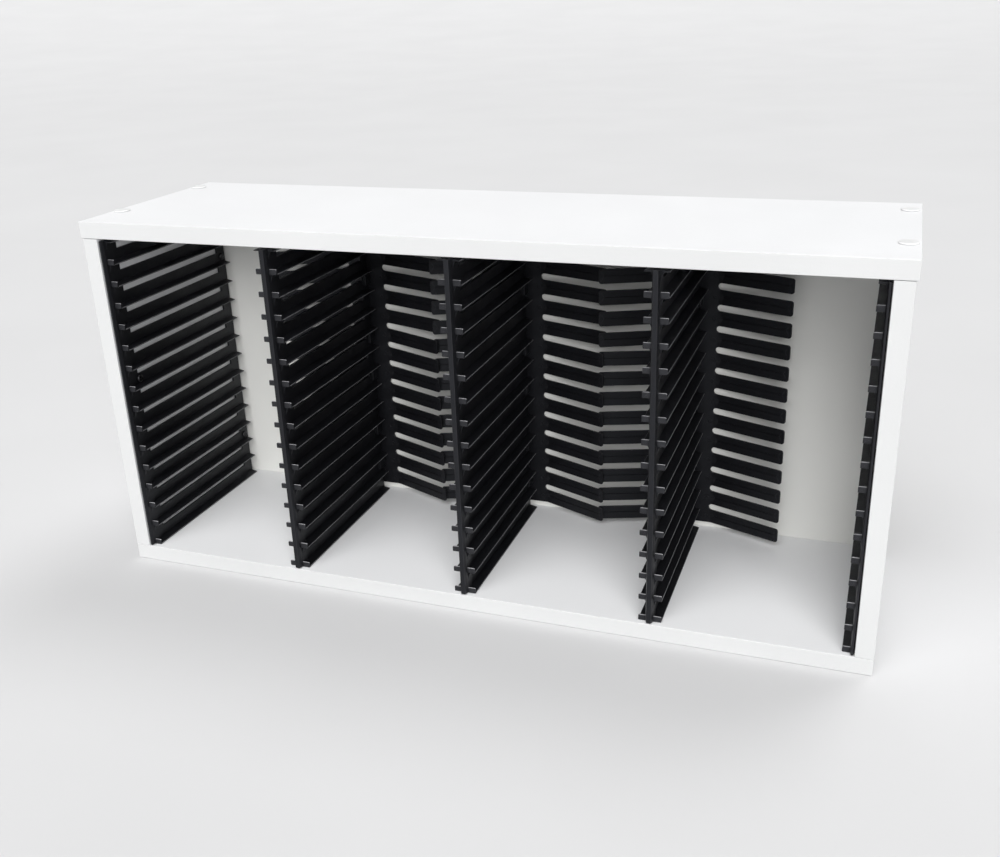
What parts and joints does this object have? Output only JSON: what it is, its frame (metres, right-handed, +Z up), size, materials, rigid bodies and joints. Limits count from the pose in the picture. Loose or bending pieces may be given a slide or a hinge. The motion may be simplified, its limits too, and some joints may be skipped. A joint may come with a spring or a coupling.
{
  "type": "cd storage box",
  "caption": "Low white board cabinet open at the front, with black plastic slot rails between its bays that hold CD jewel cases flat, and spring fingers at the back that push them out.",
  "frame": {"origin": "middle of the underside", "axes": "+X to the right seen from the front, front towards -Y, +Z up"},
  "size_m": [0.5646, 0.164, 0.2724],
  "materials": {
    "white_board": "white melamine faced board, fine pearl texture",
    "black_plastic": "moulded black plastic, satin",
    "white_plastic": "white cover caps, smooth",
    "zinc_steel": "zinc plated"
  },
  "bodies": {
    "case": {"top_panel": "white_board", "bottom_panel": "white_board", "left_side_panel": "white_board", "right_side_panel": "white_board", "back_panel": "white_board", "left_side_rail": "black_plastic", "right_side_rail": "black_plastic", "left_divider_rail": "black_plastic", "left_comb_spine": "black_plastic", "left_divider_upper_screw": "zinc_steel", "left_divider_lower_screw": "zinc_steel", "middle_divider_rail": "black_plastic", "middle_comb_spine": "black_plastic", "middle_divider_upper_screw": "zinc_steel", "middle_divider_lower_screw": "zinc_steel", "right_divider_rail": "black_plastic", "right_comb_spine": "black_plastic", "right_divider_upper_screw": "zinc_steel", "right_divider_lower_screw": "zinc_steel", "top_left_front_screw": "zinc_steel", "bottom_left_front_screw": "zinc_steel", "left_front_cap": "white_plastic", "top_left_back_screw": "zinc_steel", "bottom_left_back_screw": "zinc_steel", "left_back_cap": "white_plastic", "left_rail_front_screw": "zinc_steel", "left_rail_upper_back_screw": "zinc_steel", "left_rail_lower_back_screw": "zinc_steel", "top_right_front_screw": "zinc_steel", "bottom_right_front_screw": "zinc_steel", "right_front_cap": "white_plastic", "top_right_back_screw": "zinc_steel", "bottom_right_back_screw": "zinc_steel", "right_back_cap": "white_plastic", "right_rail_front_screw": "zinc_steel", "right_rail_upper_back_screw": "zinc_steel", "right_rail_lower_back_screw": "zinc_steel"},
    "left_comb_left_fingers": {"left_comb_left_fingers": "black_plastic"},
    "left_comb_right_fingers": {"left_comb_right_fingers": "black_plastic"},
    "middle_comb_left_fingers": {"middle_comb_left_fingers": "black_plastic"},
    "middle_comb_right_fingers": {"middle_comb_right_fingers": "black_plastic"},
    "right_comb_left_fingers": {"right_comb_left_fingers": "black_plastic"},
    "right_comb_right_fingers": {"right_comb_right_fingers": "black_plastic"}
  },
  "joints": [
    {"name": "left_comb_left_flex", "type": "hinge", "parent": "case", "child": "left_comb_left_fingers", "pos_m": [-0.14775, 0.0703, 0.0171], "axis": [0, 0, -1], "range_deg": [0, 20], "stiffness_Nm_per_rad": 1},
    {"name": "left_comb_right_flex", "type": "hinge", "parent": "case", "child": "left_comb_right_fingers", "pos_m": [-0.12225, 0.0703, 0.0171], "axis": [0, 0, 1], "range_deg": [0, 18.5], "stiffness_Nm_per_rad": 1},
    {"name": "middle_comb_left_flex", "type": "hinge", "parent": "case", "child": "middle_comb_left_fingers", "pos_m": [-0.01275, 0.0703, 0.0171], "axis": [0, 0, -1], "range_deg": [0, 18.5], "stiffness_Nm_per_rad": 1},
    {"name": "middle_comb_right_flex", "type": "hinge", "parent": "case", "child": "middle_comb_right_fingers", "pos_m": [0.01275, 0.0703, 0.0171], "axis": [0, 0, 1], "range_deg": [0, 18.5], "stiffness_Nm_per_rad": 1},
    {"name": "right_comb_left_flex", "type": "hinge", "parent": "case", "child": "right_comb_left_fingers", "pos_m": [0.12225, 0.0703, 0.0171], "axis": [0, 0, -1], "range_deg": [0, 18.5], "stiffness_Nm_per_rad": 1},
    {"name": "right_comb_right_flex", "type": "hinge", "parent": "case", "child": "right_comb_right_fingers", "pos_m": [0.14775, 0.0703, 0.0171], "axis": [0, 0, 1], "range_deg": [0, 20], "stiffness_Nm_per_rad": 1}
  ],
  "couplings": [
    {"joint": "middle_comb_left_flex", "follows": "left_comb_right_flex", "ratio": 1},
    {"joint": "right_comb_left_flex", "follows": "middle_comb_right_flex", "ratio": 1}
  ]
}
